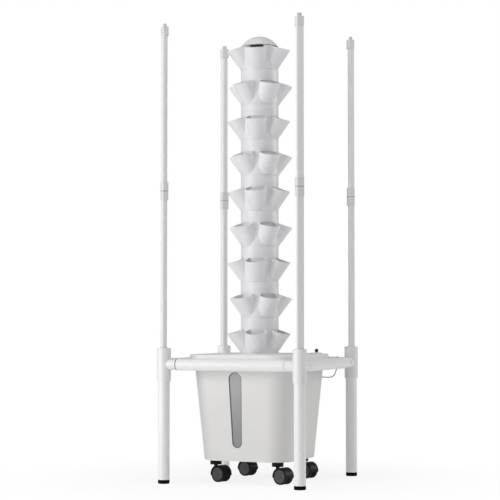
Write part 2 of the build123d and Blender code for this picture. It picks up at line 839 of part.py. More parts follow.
half_web = web_width / 2
wheel_inside = half_web + wheel_side_gap
wheel_outside = wheel_inside + wheel_width
for name, (side, depth, face) in corners.items():
    ground = upright(side * caster_place, depth * caster_place, 0, caster_heading)
    hub_point = ground.from_local_coords(Vector(caster_trail, 0, wheel_radius))
    wheel_plane = Plane(origin=hub_point, x_dir=ground.x_dir, z_dir=-ground.y_dir)
    with BuildPart() as hood:
        with BuildSketch(wheel_plane):
            Circle(fender_outer)
            Circle(fender_inner, mode=Mode.SUBTRACT)
            with Locations((0, -fender_drop)):
                Rectangle(
                    2 * fender_outer,
                    2 * fender_outer,
                    align=(Align.CENTER, Align.MIN),
                    mode=Mode.INTERSECT,
                )
        extrude(amount=wheel_outside, both=True)
        with BuildSketch(wheel_plane):
            Circle(fender_outer)
            with Locations((0, -fender_drop)):
                Rectangle(
                    2 * fender_outer,
                    2 * fender_outer,
                    align=(Align.CENTER, Align.MIN),
                    mode=Mode.INTERSECT,
                )
        extrude(amount=half_web, both=True)
        with BuildSketch(ground.offset(mount_bottom - seat_gap)):
            Circle(neck_radius)
        extrude(amount=-stem_length - 2 * seat_gap)
        with BuildSketch(ground.offset(mount_bottom - seat_gap)):
            Circle(stem_radius + spin_fit)
        extrude(amount=-stem_length, mode=Mode.SUBTRACT)
        with BuildSketch(wheel_plane):
            Circle(axle_radius + spin_fit)
        extrude(amount=wheel_outside, both=True, mode=Mode.SUBTRACT)
    write(hood, f"caster_hood_{name}")

    with BuildPart() as axle:
        with BuildSketch(wheel_plane):
            Circle(axle_radius)
        extrude(amount=wheel_outside - wheel_dish_depth, both=True)
    write(axle, f"caster_axle_{name}")

    with BuildPart() as wheels:
        for hand in (1, -1):
            with BuildSketch(wheel_plane.offset(hand * wheel_inside)):
                Circle(wheel_radius)
            extrude(amount=hand * wheel_width)
        fillet(wheels.edges().filter_by(GeomType.CIRCLE), wheel_edge)
        for hand in (1, -1):
            with BuildSketch(wheel_plane.offset(hand * wheel_outside)):
                Circle(wheel_dish_radius)
            extrude(amount=-hand * wheel_dish_depth, mode=Mode.SUBTRACT)
        with BuildSketch(wheel_plane):
            Circle(axle_radius)
        extrude(amount=wheel_outside, both=True, mode=Mode.SUBTRACT)
    write(wheels, f"caster_wheels_{name}")
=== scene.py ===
# %% [markdown]
# A hydroponic tower inside its light stand.
# The object is a white planting tower on a wheeled water tank, with a square stand of plastic pipe and
# four light masts around it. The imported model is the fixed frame: every solid is in its real place, in
# metres. This lesson dresses that frame. Most moulded parts keep their solids and get the finish of
# their real material, and the few whose detail the solids leave out are built here as meshes.

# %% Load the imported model
import math

import bmesh
import bpy
from mathutils import Matrix, Vector


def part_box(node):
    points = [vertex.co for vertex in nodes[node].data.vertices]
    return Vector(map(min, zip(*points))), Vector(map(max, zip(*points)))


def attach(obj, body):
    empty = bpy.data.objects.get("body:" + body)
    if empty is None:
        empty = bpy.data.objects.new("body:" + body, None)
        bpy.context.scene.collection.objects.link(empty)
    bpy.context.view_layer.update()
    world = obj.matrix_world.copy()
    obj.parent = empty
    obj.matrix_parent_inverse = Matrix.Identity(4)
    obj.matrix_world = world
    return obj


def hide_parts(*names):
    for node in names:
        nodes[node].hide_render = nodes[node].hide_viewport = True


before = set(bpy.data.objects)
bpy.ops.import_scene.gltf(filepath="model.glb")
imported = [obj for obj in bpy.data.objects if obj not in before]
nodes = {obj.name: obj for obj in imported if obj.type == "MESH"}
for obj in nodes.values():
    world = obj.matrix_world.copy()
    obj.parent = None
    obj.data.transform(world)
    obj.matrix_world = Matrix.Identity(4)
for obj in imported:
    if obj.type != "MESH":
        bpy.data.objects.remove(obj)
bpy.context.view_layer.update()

# %% [markdown]
# The camera stands a little to the right of the front, at the height of the tank's lid, and looks up by
# two degrees. A long lens from six metres keeps the four masts almost parallel. Distance, height and
# lens were worked out from the masts and the feet, so they are written here as plain values.

# %% Camera
camera_turn = math.radians(23.1)
camera_distance = 5.873
camera_height = 0.604
look_turn = camera_turn + math.radians(0.354)
look_up = 0.0415
camera_lens = 113.96

camera_data = bpy.data.cameras.new("camera")
camera_data.lens = camera_lens
camera_data.sensor_width = 36.0
camera = bpy.data.objects.new("camera", camera_data)
bpy.context.scene.collection.objects.link(camera)
view_way = Vector((
    -math.sin(look_turn) * math.cos(look_up),
    math.cos(look_turn) * math.cos(look_up),
    math.sin(look_up),
))
view_right = Vector((math.cos(look_turn), math.sin(look_turn), 0.0))
view_up = view_right.cross(view_way)
camera.matrix_world = Matrix((view_right, view_up, -view_way)).transposed().to_4x4()
camera.location = (
    math.sin(camera_turn) * camera_distance,
    -math.cos(camera_turn) * camera_distance,
    camera_height,
)
bpy.context.scene.camera = camera
bpy.context.scene.view_settings.view_transform = "Standard"
print("camera at", tuple(round(value, 3) for value in camera.location))

# %% [markdown]
# A thin lead feeds the pump. It leaves a gland in the tank's rear right corner, sags, and goes up into the
# right rail. Inside the tank it hangs from the gland to the floor and ends in the pump. A round cable of
# even thickness could be a swept mesh, but a curve with a bevel keeps one clean centreline, and a NURBS
# spline through a few control points bends as a soft cable does. The bevel is one metre and each point's
# radius is the cable's, because Blender adds the points' radii to the box that it gives for a curve.

# %% Pump lead
lead_diameter = 0.004


def lay_lead(name, node, route):
    """A limp round cable along its route, in place of the solid that it follows."""
    curve = bpy.data.curves.new(name, "CURVE")
    curve.dimensions = "3D"
    curve.bevel_depth = 1.0
    curve.bevel_resolution = 5
    curve.use_fill_caps = True
    spline = curve.splines.new("NURBS")
    spline.points.add(len(route) - 1)
    for point, place in zip(spline.points, route):
        point.co = (*place, 1.0)
        point.radius = lead_diameter / 2
    spline.order_u = 3
    spline.use_endpoint_u = True
    spline.resolution_u = 10
    lead = bpy.data.objects.new(name, curve)
    bpy.context.scene.collection.objects.link(lead)
    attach(lead, "stand_and_tank")
    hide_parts(node)
    print(name, "has", len(route), "control points")
    return lead


lead_outside = lay_lead("pump_lead_outside", "pump_lead", [
    (0.1780, 0.1780, 0.3741),
    (0.1851, 0.1851, 0.3731),
    (0.2060, 0.1940, 0.3720),
    (0.2210, 0.1875, 0.3780),
    (0.2310, 0.1780, 0.3890),
    (0.2403, 0.1660, 0.4043),
    (0.2474, 0.1660, 0.4114),
])
lead_in_tank = lay_lead("pump_lead_in_tank", "pump_lead_inside", [
    (0.1645, 0.1645, 0.3762),
    (0.1574, 0.1574, 0.3773),
    (0.1499, 0.1499, 0.3690),
    (0.1460, 0.1460, 0.3540),
    (0.1435, 0.1435, 0.3340),
    (0.1414, 0.1414, 0.3000),
    (0.1389, 0.1389, 0.2580),
    (0.1372, 0.1372, 0.2160),
    (0.1336, 0.1336, 0.1740),
    (0.1273, 0.1273, 0.1400),
    (0.1138, 0.1138, 0.1160),
    (0.0948, 0.0948, 0.1030),
    (0.0721, 0.0721, 0.0990),
    (0.0523, 0.0523, 0.1010),
    (0.0389, 0.0389, 0.1040),
    (0.0283, 0.0283, 0.1040),
])

# %% [markdown]
# Materials are made of shader nodes. One small function adds a node: it sets the node's own options,
# fills its sockets, and links a socket where it is given another node's output. Colours are written as
# hex values, the way a paint card gives them, and one function turns them into the linear values that
# the shader adds up.

# %% Helpers for materials
mix_factor = 0
mix_first = 6
mix_second = 7
mix_result = 2


def linear(code):
    """Linear colour of an sRGB hex value."""
    shares = [int(code[start:start + 2], 16) / 255 for start in (1, 3, 5)]
    bright = [((share + 0.055) / 1.055) ** 2.4 if share > 0.04045 else share / 12.92 for share in shares]
    return (*bright, 1.0)


def per_metre(size_mm):
    """Texture scale at which one feature is about this many millimetres wide."""
    return 1000 / size_mm


def add(material, kind, sockets=None, **options):
    """A new node with its options set and its sockets filled or linked."""
    node = material.node_tree.nodes.new(kind)
    for name, value in options.items():
        setattr(node, name, value)
    for name, value in (sockets or {}).items():
        if isinstance(value, bpy.types.NodeSocket):
            material.node_tree.links.new(value, node.inputs[name])
        else:
            node.inputs[name].default_value = value
    return node


def blank_material(name):
    """A material with no nodes yet."""
    material = bpy.data.materials.new(name)
    material.use_nodes = True
    material.node_tree.nodes.clear()
    return material


def show_surface(material, shader):
    """Send a shader to the material's output."""
    add(material, "ShaderNodeOutputMaterial", {"Surface": shader.outputs[0]})
    return material


def paint(material, *pieces):
    """Put one finish on the given pieces."""
    for piece in pieces:
        piece.data.materials.clear()
        piece.data.materials.append(material)
    print(material.name, "on", len(pieces), "pieces")


# %% [markdown]
# Nearly every white part is a moulded thermoplastic. Seen close, such a surface has three things that a
# flat colour lacks: faint clouds where the melt flowed, a fine grain that the mould's spark-eroded steel
# leaves, and edges that are slightly round because melt never fills a sharp corner. The clouds are a
# noise between two near colours, the grain is bump, and the Bevel node rounds the edges in the shading.
# The real grain is about 0.2 mm, far below one pixel, so it is drawn about ten times coarser to show.

# %% Moulded plastics
def moulded_plastic(name, pale, clouded, roughness, ior, cloud_mm=60.0, grain_mm=2.2, relief_mm=0.05,
                    edge_mm=0.8, shine=0.5):
    """A moulded thermoplastic with flow clouds, grain and soft edges."""
    material = blank_material(name)
    place = add(material, "ShaderNodeTexCoord").outputs["Object"]
    cloud = add(material, "ShaderNodeTexNoise", {
        "Vector": place,
        "Scale": per_metre(cloud_mm),
        "Detail": 4.0,
        "Roughness": 0.6,
    })
    colour = add(material, "ShaderNodeMix", {
        mix_factor: cloud.outputs["Fac"],
        mix_first: linear(pale),
        mix_second: linear(clouded),
    }, data_type="RGBA")
    grain = add(material, "ShaderNodeTexNoise", {
        "Vector": place,
        "Scale": per_metre(grain_mm),
        "Detail": 2.0,
    })
    gloss = add(material, "ShaderNodeMapRange", {
        "Value": grain.outputs["Fac"],
        "To Min": roughness - 0.06,
        "To Max": roughness + 0.06,
    })
    edge = add(material, "ShaderNodeBevel", {"Radius": edge_mm / 1000}, samples=4)
    bump = add(material, "ShaderNodeBump", {
        "Height": grain.outputs["Fac"],
        "Normal": edge.outputs["Normal"],
        "Strength": 0.5,
        "Distance": relief_mm / 1000,
    })
    surface = add(material, "ShaderNodeBsdfPrincipled", {
        "Base Color": colour.outputs[mix_result],
        "Roughness": gloss.outputs["Result"],
        "IOR": ior,
        "Specular IOR Level": shine,
        "Normal": bump.outputs["Normal"],
    })
    return show_surface(material, surface)


# %% [markdown]
# The tank, its lid and the fill cap are polypropylene, a waxy plastic that is a touch warmer than pure
# white and has a satin gloss. The tank is the largest plain surface, so its clouds are wide and its colour
# is a little deeper than the lid's.

# %% Tank and lid
tank_plastic = moulded_plastic("polypropylene_tank", "#E4E3E1", "#DCDBD9", 0.42, 1.49, cloud_mm=140.0)
lid_plastic = moulded_plastic("polypropylene_lid", "#F6F6F5", "#F0F0EF", 0.40, 1.49)
paint(tank_plastic, nodes["tank_shell"])
paint(lid_plastic, nodes["tank_lid"], nodes["fill_cap"])

# %% [markdown]
# The planting collars, the rings between them and the base ring are ABS: a cooler white with a soft,
# slightly shinier skin. The dome that caps the tower is a greyer moulding whose skin is mottled, so its
# clouds are small and strong.

# %% Tower and dome
collar_names = [f"planting_collar_{layer}" for layer in range(1, 10)]
tower_plastic = moulded_plastic("abs_planting_tower", "#EEEEF0", "#E8E8EB", 0.40, 1.53, cloud_mm=45.0)
dome_plastic = moulded_plastic(
    "mottled_abs_dome", "#F2F2F1", "#BDBDBC", 0.45, 1.53, cloud_mm=7.0, relief_mm=0.3)
paint(tower_plastic, *[nodes[name] for name in collar_names], nodes["spacer_rings"], nodes["base_ring"])
paint(dome_plastic, nodes["dome_cap"])

# %% [markdown]
# Black mouldings: the water distributor under the dome, the pump and its strainer, the caster mounts and
# hoods. They are nylon or ABS with carbon black in it, so they are never fully black, and a broad dull
# highlight shows their form.

# %% Black mouldings
corner_names = ("front_left", "front_right", "rear_right", "rear_left")
pump_plastic = moulded_plastic("black_abs_pump", "#1C1D1E", "#232425", 0.48, 1.53, cloud_mm=30.0)
caster_plastic = moulded_plastic(
    "black_nylon_caster", "#090A0A", "#0F1010", 0.40, 1.53, cloud_mm=15.0, shine=0.16)
paint(pump_plastic, nodes["water_distributor"], nodes["pump_body"], nodes["pump_strainer"])
paint(caster_plastic, nodes["caster_mounts"], *[nodes[f"caster_hood_{name}"] for name in corner_names])

# %% [markdown]
# The stand is uPVC pipe. Pipe is extruded, so its skin carries fine lines along its length, where the die
# drew it out. A noise texture squeezed along the pipe's axis gives such lines. Legs run upwards, and the
# rails run along one side or the other, so the same finish is made once for each direction. The real lines
# are a few hundredths of a millimetre apart and are drawn coarser here to show.

# %% Extruded pipe
line_gap_mm = 1.6
line_stretch = 0.015
pipe_edge = 0.0006
line_relief = 0.00004


def extruded_pipe(name, pale, clouded, roughness, axis):
    """Extruded uPVC with draw lines along one axis."""
    material = blank_material(name)
    place = add(material, "ShaderNodeTexCoord").outputs["Object"]
    squeeze = [1.0, 1.0, 1.0]
    squeeze[axis] = line_stretch
    drawn = add(material, "ShaderNodeMapping", {"Vector": place, "Scale": squeeze})
    lines = add(material, "ShaderNodeTexNoise", {
        "Vector": drawn.outputs["Vector"],
        "Scale": per_metre(line_gap_mm),
        "Detail": 3.0,
    })
    colour = add(material, "ShaderNodeMix", {
        mix_factor: lines.outputs["Fac"],
        mix_first: linear(pale),
        mix_second: linear(clouded),
    }, data_type="RGBA")
    gloss = add(material, "ShaderNodeMapRange", {
        "Value": lines.outputs["Fac"],
        "To Min": roughness - 0.07,
        "To Max": roughness + 0.07,
    })
    edge = add(material, "ShaderNodeBevel", {"Radius": pipe_edge}, samples=4)
    bump = add(material, "ShaderNodeBump", {
        "Height": lines.outputs["Fac"],
        "Normal": edge.outputs["Normal"],
        "Strength": 0.4,
        "Distance": line_relief,
    })
    surface = add(material, "ShaderNodeBsdfPrincipled", {
        "Base Color": colour.outputs[mix_result],
        "Roughness": gloss.outputs["Result"],
        "IOR": 1.54,
        "Normal": bump.outputs["Normal"],
    })
    return show_surface(material, surface)


pipe_pale = "#F2F2F2"
pipe_clouded = "#ECECEC"
pipe_roughness = 0.34
upright_pipe = extruded_pipe("upvc_pipe_upright", pipe_pale, pipe_clouded, pipe_roughness, axis=2)
sideways_pipe = extruded_pipe("upvc_pipe_sideways", pipe_pale, pipe_clouded, pipe_roughness, axis=0)
deep_pipe = extruded_pipe("upvc_pipe_front_to_back", pipe_pale, pipe_clouded, pipe_roughness, axis=1)
paint(upright_pipe, *[nodes[f"leg_{name}"] for name in corner_names], nodes["riser_pipe"])
paint(sideways_pipe, nodes["rail_front"], nodes["rail_rear"])
paint(deep_pipe, nodes["rail_left"], nodes["rail_right"])

# %% [markdown]
# The corner fittings and the bushes in their upper sockets are moulded uPVC, a little shinier than the
# pipe and without its lines.

# %% Corner fittings
fitting_plastic = moulded_plastic("upvc_fitting", "#EEEEEE", "#E8E8E8", 0.32, 1.54, edge_mm=1.2)
paint(fitting_plastic, *[nodes[f"corner_fitting_{name}"] for name in corner_names], nodes["mast_bushes"])

# %% [markdown]
# Each light bar is an extruded aluminium channel with a white powder coat, an LED board inside, an opal
# cover over it and a moulded cap at each end. Powder coat flows into a faint orange peel as it is baked.
# The opal cover is polycarbonate with a milky filler: it lets some light through and blurs what is behind.
# Halfway up each mast two caps meet, and shade falls into the thin gap between them. The solids touch
# there, so that shade is painted as a dark line in the caps' finish, at the height of the lower caps' top.

# %% Light bars
housing_coat = moulded_plastic(
    "powder_coated_aluminium",
    "#F0F0F0",
    "#EAEAEA",
    0.40,
    1.50,
    cloud_mm=25.0,
    grain_mm=3.0,
    relief_mm=0.06,
)
cap_plastic = moulded_plastic("abs_end_cap", "#E4E5E5", "#DDDEDE", 0.40, 1.53, cloud_mm=20.0)
connector_plastic = moulded_plastic("grey_nylon_connector", "#DADADB", "#CFCFD0", 0.45, 1.53, cloud_mm=10.0)
seam_shade_width = 0.0036
seam_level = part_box("light_end_caps_lower")[1].z


def paint_seam_shade(material, level, width, code):
    """A dark line of painted shade around a finish at one height."""
    surface = next(node for node in material.node_tree.nodes if node.type == "BSDF_PRINCIPLED")
    plain = surface.inputs["Base Color"].links[0].from_socket
    place = add(material, "ShaderNodeTexCoord").outputs["Object"]
    height = add(material, "ShaderNodeSeparateXYZ", {"Vector": place})
    near = add(material, "ShaderNodeMath", {
        0: height.outputs["Z"],
        1: level,
        2: width / 2,
    }, operation="COMPARE")
    lined = add(material, "ShaderNodeMix", {
        mix_factor: near.outputs["Value"],
        mix_first: plain,
        mix_second: linear(code),
    }, data_type="RGBA")
    material.node_tree.links.new(lined.outputs[mix_result], surface.inputs["Base Color"])


# Painted shade: this dark line stands for the shade in the gap between the lower and upper caps.
paint_seam_shade(cap_plastic, seam_level, seam_shade_width, "#B6B8B8")
board_lacquer = moulded_plastic("white_board_lacquer", "#F0F0EC", "#E4E4DE", 0.35, 1.50, cloud_mm=12.0)

opal_cover = blank_material("opal_polycarbonate")
opal_place = add(opal_cover, "ShaderNodeTexCoord").outputs["Object"]
opal_drawn = add(opal_cover, "ShaderNodeMapping", {"Vector": opal_place, "Scale": (1.0, 1.0, 0.02)})
opal_lines = add(opal_cover, "ShaderNodeTexNoise", {
    "Vector": opal_drawn.outputs["Vector"],
    "Scale": per_metre(2.0),
    "Detail": 3.0,
})
opal_colour = add(opal_cover, "ShaderNodeMix", {
    mix_factor: opal_lines.outputs["Fac"],
    mix_first: linear("#F6F6F6"),
    mix_second: linear("#EFEFF0"),
}, data_type="RGBA")
opal_surface = add(opal_cover, "ShaderNodeBsdfPrincipled", {
    "Base Color": opal_colour.outputs[mix_result],
    "Roughness": 0.38,
    "IOR": 1.58,
    "Transmission Weight": 0.15,
})
show_surface(opal_cover, opal_surface)

paint(housing_coat, nodes["light_housings"])
paint(cap_plastic, nodes["light_end_caps_lower"], nodes["light_end_caps_upper"])
paint(connector_plastic, nodes["light_connectors"])
paint(board_lacquer, nodes["led_boards"])
paint(opal_cover, nodes["light_diffusers"])

# %% [markdown]
# The level window is a smoked pane let into the tank's front wall, with a black lip of soft rubber around
# it. Behind the pane is the dark inside of the tank, which makes the pane grey. A gradient over the pane's
# height paints that grey lighter at the top and darker towards the bottom, as painted light and shade,
# with a faint cloudiness over it.

# %% Level window
pane_low, pane_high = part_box("level_window")
smoked_pane = blank_material("smoked_polycarbonate")
pane_place = add(smoked_pane, "ShaderNodeTexCoord").outputs["Object"]
pane_height = add(smoked_pane, "ShaderNodeSeparateXYZ", {"Vector": pane_place})
pane_share = add(smoked_pane, "ShaderNodeMapRange", {
    "Value": pane_height.outputs["Z"],
    "From Min": pane_low.z,
    "From Max": pane_high.z,
})
pane_cloud = add(smoked_pane, "ShaderNodeTexNoise", {
    "Vector": pane_place,
    "Scale": per_metre(18.0),
    "Detail": 3.0,
})
# Painted light and shade: the mix runs from the darker grey at the bottom of the pane to the lighter grey
# at the top.
pane_painted_light = add(smoked_pane, "ShaderNodeMath", {
    0: pane_cloud.outputs["Fac"],
    1: 0.25,
    2: pane_share.outputs["Result"],
}, operation="MULTIPLY_ADD")
pane_colour = add(smoked_pane, "ShaderNodeMix", {
    mix_factor: pane_painted_light.outputs["Value"],
    mix_first: linear("#868686"),
    mix_second: linear("#A9A9A9"),
}, data_type="RGBA")
pane_surface = add(smoked_pane, "ShaderNodeBsdfPrincipled", {
    "Base Color": pane_colour.outputs[mix_result],
    "Roughness": 0.22,
    "IOR": 1.58,
})
show_surface(smoked_pane, pane_surface)
seal_rubber = moulded_plastic("grey_rubber_seal", "#6C6C6D", "#5C5C5D", 0.6, 1.5, cloud_mm=8.0)
paint(smoked_pane, nodes["level_window"])
paint(seal_rubber, nodes["window_seal"])

# %% [markdown]
# Small fittings: the ball knob on the fill cap is a pressed phenolic ball, black and shiny; the gland, the
# grommet and the lead's sleeve are white nylon and soft PVC. The sleeve's grey is partly its own colour and
# partly painted shade, for the shade under the thin lead.

# %% Small fittings
knob_phenolic = moulded_plastic(
    "black_phenolic_knob", "#141414", "#1B1B1B", 0.16, 1.60, cloud_mm=4.0, relief_mm=0.01)
gland_nylon = moulded_plastic("white_nylon_gland", "#E2E2E1", "#D8D8D7", 0.45, 1.53, cloud_mm=6.0)
# Partly painted shade: the sleeve's grey also stands for the shade under the thin lead.
lead_sleeve_and_shade = moulded_plastic("soft_pvc_sleeve_painted_shade", "#A9A9A9", "#9D9D9D", 0.5, 1.53, cloud_mm=6.0)
paint(knob_phenolic, nodes["fill_knob"])
paint(gland_nylon, nodes["cable_gland"], nodes["rail_grommet"])
paint(lead_sleeve_and_shade, lead_outside, lead_in_tank)

# %% [markdown]
# The axles are zinc-plated steel pins. Plating leaves a soft, slightly blue metal with fine turning marks
# around the pin.

# %% Axles
zinc_pin = blank_material("zinc_plated_steel")
zinc_place = add(zinc_pin, "ShaderNodeTexCoord").outputs["Object"]
zinc_marks = add(zinc_pin, "ShaderNodeTexNoise", {
    "Vector": zinc_place,
    "Scale": per_metre(0.8),
    "Detail": 3.0,
})
zinc_gloss = add(zinc_pin, "ShaderNodeMapRange", {
    "Value": zinc_marks.outputs["Fac"],
    "To Min": 0.28,
    "To Max": 0.45,
})
zinc_surface = add(zinc_pin, "ShaderNodeBsdfPrincipled", {
    "Base Color": linear("#C9CCCF"),
    "Metallic": 1.0,
    "Roughness": zinc_gloss.outputs["Result"],
})
show_surface(zinc_pin, zinc_surface)
paint(zinc_pin, *[nodes[f"caster_axle_{name}"] for name in corner_names])

# %% [markdown]
# Turned parts, such as a wheel or a rubber foot, are a profile spun around an axis. A lathe modifier could
# do it, but a small function that makes one ring of points per profile point also lets the radius change
# around the ring, and that is how the foot gets its ribs.

# %% Helper for turned parts
def turned_mesh(profile, steps, place, radius_at=None):
    """Points of a profile (radius, height) spun about the local Z axis, closed at the axis."""
    mesh = bmesh.new()
    rings = []
    for radius, height in profile:
        if radius < 1e-9:
            rings.append([mesh.verts.new(place @ Vector((0.0, 0.0, height)))])
            continue
        ring = []
        for step in range(steps):
            turn = 2 * math.pi * step / steps
            reach = radius_at(radius, height, turn) if radius_at else radius
            spot = Vector((reach * math.cos(turn), reach * math.sin(turn), height))
            ring.append(mesh.verts.new(place @ spot))
        rings.append(ring)
    for near, far in zip(rings, rings[1:]):
        for step in range(steps):
            after = (step + 1) % steps
            corners = [ring[index % len(ring)] for ring, index in (
                (near, step),
                (near, after),
                (far, after),
                (far, step),
            )]
            unique = [corner for index, corner in enumerate(corners) if corner not in corners[:index]]
            mesh.faces.new(unique)
    bmesh.ops.recalc_face_normals(mesh, faces=mesh.faces)
    return mesh


def finished_piece(name, meshes, sharp_degrees=35.0):
    """One object made of several bmeshes, smooth except at sharp edges."""
    data = bpy.data.meshes.new(name)
    whole = bmesh.new()
    for mesh in meshes:
        part = bpy.data.meshes.new("part")
        mesh.to_mesh(part)
        mesh.free()
        whole.from_mesh(part)
        bpy.data.meshes.remove(part)
    for face in whole.faces:
        face.smooth = True
    for edge in whole.edges:
        if len(edge.link_faces) == 2 and edge.calc_face_angle() > math.radians(sharp_degrees):
            edge.smooth = False
    whole.to_mesh(data)
    whole.free()
    piece = bpy.data.objects.new(name, data)
    bpy.context.scene.collection.objects.link(piece)
    print(name, "has", len(data.polygons), "faces")
    return piece


# %% [markdown]
# Each leg stands on a black rubber foot with upright ribs, pushed into the pipe. The ribs are part of the
# shape, so they are cut into the ring of points between two plain bands.

# %% Ribbed rubber feet
stand_half = 0.264
foot_radius = 0.021
foot_height = 0.014
plug_radius = 0.0178
plug_top = 0.036
rib_count = 18
rib_depth = 0.0016
rib_low = 0.0022
rib_high = 0.0125


def rib_reach(radius, height, turn):
    """Foot radius with grooves between the ribs."""
    if radius > foot_radius - 1e-6 and rib_low < height < rib_high:
        groove = max(0.0, math.cos(rib_count * turn)) ** 0.5
        return radius - rib_depth * groove
    return radius


foot_profile = [
    (0.0, 0.0),
    (foot_radius - 0.002, 0.0),
    (foot_radius - 0.0006, 0.0006),
    (foot_radius, 0.0020),
    (foot_radius, 0.0026),
    (foot_radius, 0.0034),
    (foot_radius, 0.0080),
    (foot_radius, 0.0116),
    (foot_radius, 0.0123),
    (foot_radius, 0.0132),
    (foot_radius - 0.0006, foot_height),
    (plug_radius, foot_height),
    (plug_radius, plug_top - 0.002),
    (plug_radius - 0.002, plug_top),
    (0.0, plug_top),
]
feet = finished_piece("leg_feet_ribbed", [
    turned_mesh(foot_profile, 8 * rib_count, Matrix.Translation((across, along, 0.0)), rib_reach)
    for across in (-stand_half, stand_half)
    for along in (-stand_half, stand_half)
])
foot_rubber = moulded_plastic(
    "black_rubber_foot", "#0A0A0A", "#101010", 0.66, 1.52, cloud_mm=8.0, shine=0.08)
paint(foot_rubber, feet)
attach(feet, "stand_and_tank")
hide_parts("leg_feet")

# %% [markdown]
# Two of the four corner fittings have a thin gap on each stub, where the rail's end stands a little off it,
# and shade falls into that gap. A black rubber ring stands for that shade as painted shade: a small rounded
# band between the rail's end and the fitting, spun about the stub's axis.

# %% Painted shade rings at the rail ends
rail_level = 0.428
stub_radius = 0.0195
ring_radius = 0.0207
ring_width = 0.0030
rail_end = 0.209
ring_profile = [
    (stub_radius, 0.0),
    (ring_radius - 0.0004, 0.0),
    (ring_radius, 0.0005),
    (ring_radius, ring_width - 0.0005),
    (ring_radius - 0.0004, ring_width),
    (stub_radius, ring_width),
    (stub_radius, 0.0),
]
sideways = Matrix.Rotation(math.radians(90.0), 4, "Y")
backwards = Matrix.Rotation(math.radians(-90.0), 4, "X")
ring_starts = [
    (Vector((-rail_end - ring_width, -stand_half, rail_level)), sideways),
    (Vector((-stand_half, -rail_end - ring_width, rail_level)), backwards),
    (Vector((rail_end, stand_half, rail_level)), sideways),
    (Vector((stand_half, rail_end, rail_level)), backwards),
]
rings = finished_piece("rail_end_shade_rings", [
    turned_mesh(ring_profile, 64, Matrix.Translation(start) @ turn) for start, turn in ring_starts
])
# Painted shade: these black rings stand for the shade in the gap between each rail's end and its fitting.
paint(foot_rubber, rings)
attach(rings, "stand_and_tank")

# %% [markdown]
# A bead of the same rubber as the seal frames the pane inside its recess. Its dark grey is partly the bead
# and partly painted shade, for the shade along the pane's edge inside the recess. It is a small section
# carried around the window's outline: two round ends of different size and the straight lines that touch
# both. At every point of the outline the section's offset is measured inwards, along the outline's own
# direction.

# %% Rubber bead around the level window
window_middle = Vector((-0.013, -0.18763, 0.2645))
window_half = 0.1365
window_top_radius = 0.025
window_bottom_radius = 0.019
wall_lean = math.atan(0.031 / 0.378)
wall_frame = Matrix((
    (1.0, 0.0, 0.0, window_middle.x),
    (0.0, -math.sin(wall_lean), -math.cos(wall_lean), window_middle.y),
    (0.0, math.cos(wall_lean), -math.sin(wall_lean), window_middle.z),
    (0.0, 0.0, 0.0, 1.0),
))
bead_section = [
    (0.0003, -0.0030),
    (0.0003, -0.0008),
    (0.0008, -0.0004),
    (0.0018, -0.0007),
    (0.0023, -0.0014),
    (0.0023, -0.0030),
]
bead_steps = 40
top_centre = window_half - window_top_radius
bottom_centre = window_bottom_radius - window_half
side_lean = math.asin((window_top_radius - window_bottom_radius) / (top_centre - bottom_centre))
bead_mesh = bmesh.new()
bead_rings = []
for start, radius, centre in (
    (-side_lean, window_top_radius, top_centre),
    (math.pi + side_lean, window_bottom_radius, bottom_centre),
):
    sweep = math.pi + 2 * side_lean if start < 0 else math.pi - 2 * side_lean
    for step in range(bead_steps + 1):
        turn = start + sweep * step / bead_steps
        bead_rings.append([
            bead_mesh.verts.new(wall_frame @ Vector((
                (radius - inwards) * math.cos(turn),
                centre + (radius - inwards) * math.sin(turn),
                height,
            )))
            for inwards, height in bead_section
        ])
for near, far in zip(bead_rings, bead_rings[1:] + bead_rings[:1]):
    for index in range(len(bead_section)):
        after = (index + 1) % len(bead_section)
        bead_mesh.faces.new((near[index], near[after], far[after], far[index]))
bmesh.ops.recalc_face_normals(bead_mesh, faces=bead_mesh.faces)
# Partly painted shade: the dark bead also stands for the shade along the pane's edge inside its recess.
bead = finished_piece("level_window_bead_and_shade", [bead_mesh])
paint(seal_rubber, bead)
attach(bead, "stand_and_tank")

# %% [markdown]
# Each caster has two solid nylon wheels with a flat, dull face: a shallow dished disc inside a raised tyre,
# with a cap over the axle's end. The profile is spun about the axle. The wheels trail to one side of the
# swivel, so their axis is turned from the stand's axes. The tyre is blacker than the disc, so every face
# farther from the axle than the groove between them gets the second finish.

# %% Caster wheels
wheel_radius = 0.029
wheel_inside = 0.0075
wheel_outside = 0.0225
axle_hole = 0.00305
caster_place = 0.122
caster_trail = 0.025
caster_heading = math.radians(-17.0)
wheel_profile = [
    (0.0, wheel_outside - 0.0006),
    (0.0052, wheel_outside - 0.0006),
    (0.0060, wheel_outside - 0.0012),
    (0.0064, wheel_outside - 0.0016),
    (0.0236, wheel_outside - 0.0010),
    (0.0242, wheel_outside - 0.0018),
    (0.0250, wheel_outside - 0.0018),
    (0.0256, wheel_outside - 0.0003),
    (0.0262, wheel_outside),
    (0.0274, wheel_outside - 0.0002),
    (0.0284, wheel_outside - 0.0009),
    (0.0289, wheel_outside - 0.0020),
    (wheel_radius, wheel_outside - 0.0034),
    (wheel_radius, wheel_inside + 0.0034),
    (0.0289, wheel_inside + 0.0020),
    (0.0284, wheel_inside + 0.0009),
    (0.0274, wheel_inside),
    (axle_hole, wheel_inside),
    (axle_hole, wheel_outside - 0.0022),
    (0.0, wheel_outside - 0.0022),
]
caster_sides = {"front_left": (-1, -1), "front_right": (1, -1), "rear_right": (1, 1), "rear_left": (-1, 1)}
trail_way = Vector((math.cos(caster_heading), math.sin(caster_heading), 0.0))
axle_way = Vector((-trail_way.y, trail_way.x, 0.0))
tyre_start = 0.0244
